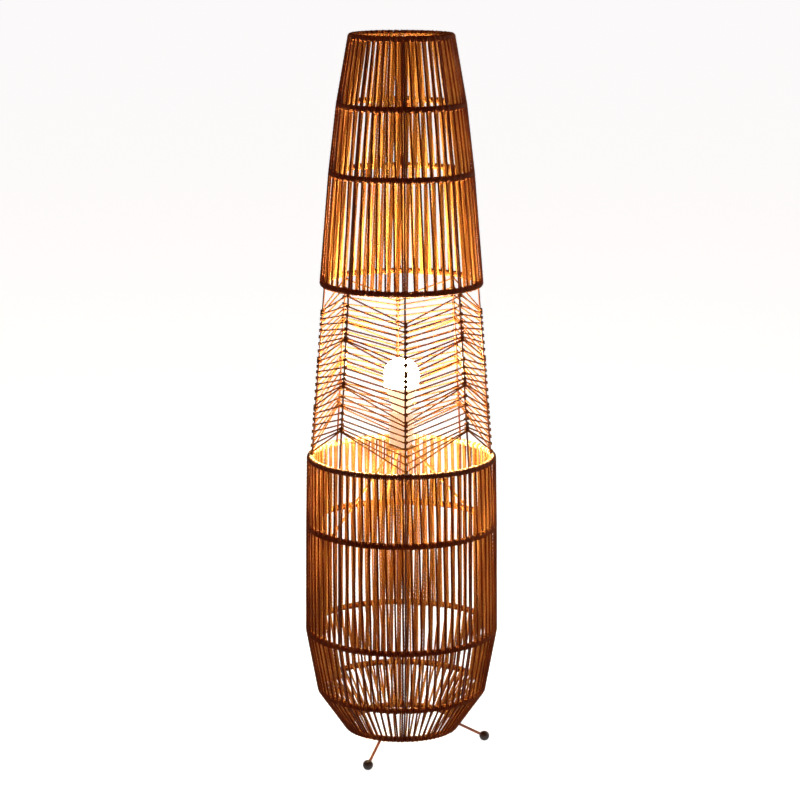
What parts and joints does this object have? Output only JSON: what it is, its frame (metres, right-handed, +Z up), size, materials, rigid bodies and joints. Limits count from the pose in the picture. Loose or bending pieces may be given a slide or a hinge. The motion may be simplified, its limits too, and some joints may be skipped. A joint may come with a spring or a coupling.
{
  "type": "woven rope floor lamp",
  "caption": "Tall floor lamp: rope wound on a wire frame as an upper shade and a lower basket, with an open chevron cord band round a bulb between them, standing on short legs with ball feet.",
  "frame": {"origin": "on the floor, under the lamp's axis", "axes": "+Z up along the lamp's axis, -Y towards the viewer, +X to the viewer's right"},
  "size_m": [0.3218, 0.3218, 1.2004],
  "materials": {
    "frame_wire": "satin dark brown",
    "foot": "smooth",
    "rope": "twisted rope, reddish brown",
    "cord": "twisted cord, reddish brown",
    "hub_steel": "satin dark brown",
    "zinc": "zinc plated",
    "holder_plastic": "satin cream",
    "porcelain": "glazed",
    "brass": "plain",
    "solder": "soldered",
    "black_glass": "gloss black",
    "nickel": "nickel plated",
    "bulb_plastic": "white",
    "frosted": "frosted, lit warm white"
  },
  "bodies": {
    "lamp": {"ball_foot_1": "foot", "ball_foot_2": "foot", "ball_foot_3": "foot", "base_ring": "frame_wire", "basket_rim_ring": "frame_wire", "basket_ring_lower": "frame_wire", "basket_ring_upper": "frame_wire", "basket_wrap_base": "rope", "basket_wrap_belly": "rope", "basket_wrap_lower": "rope", "basket_wrap_rim": "rope", "belly_ring": "frame_wire", "centre_leaf": "brass", "chevron_panel_1": "cord", "chevron_panel_2": "cord", "chevron_panel_3": "cord", "chevron_panel_4": "cord", "chevron_panel_5": "cord", "chevron_panel_6": "cord", "chevron_panel_7": "cord", "chevron_panel_8": "cord", "holder_cap": "holder_plastic", "holder_insert": "porcelain", "holder_sleeve": "holder_plastic", "hub_plate": "hub_steel", "leg_1": "frame_wire", "leg_2": "frame_wire", "leg_3": "frame_wire", "mouth_ring": "frame_wire", "nipple_nut": "zinc", "nipple_washer": "zinc", "rib_1": "frame_wire", "rib_2": "frame_wire", "rib_3": "frame_wire", "rib_4": "frame_wire", "rib_5": "frame_wire", "rib_6": "frame_wire", "rib_7": "frame_wire", "rib_8": "frame_wire", "screw_shell": "brass", "shade_hem_ring": "frame_wire", "shade_ring_lower": "frame_wire", "shade_ring_upper": "frame_wire", "shade_wrap_lower": "rope", "shade_wrap_middle": "rope", "shade_wrap_upper": "rope", "spider_wire_1": "frame_wire", "spider_wire_2": "frame_wire", "spider_wire_3": "frame_wire", "terminal_screws": "brass", "threaded_nipple": "zinc"},
    "bulb_lift": {"bulb_contact": "solder"},
    "bulb": {"bulb_insulator": "black_glass", "bulb_cap": "nickel", "bulb_housing": "bulb_plastic", "bulb_diffuser": "frosted"}
  },
  "joints": [
    {"name": "bulb_travel", "type": "slide", "parent": "lamp", "child": "bulb_lift", "axis": [0, 0, 1], "range_m": [0, 0.02541]},
    {"name": "bulb_turn", "type": "hinge", "parent": "bulb_lift", "child": "bulb", "pos_m": [0, 0, 0.55], "axis": [0, 0, 1], "range_deg": [0, 2520]}
  ],
  "couplings": [
    {"joint": "bulb_travel", "follows": "bulb_turn", "m_per_rad": 0.00057757}
  ]
}
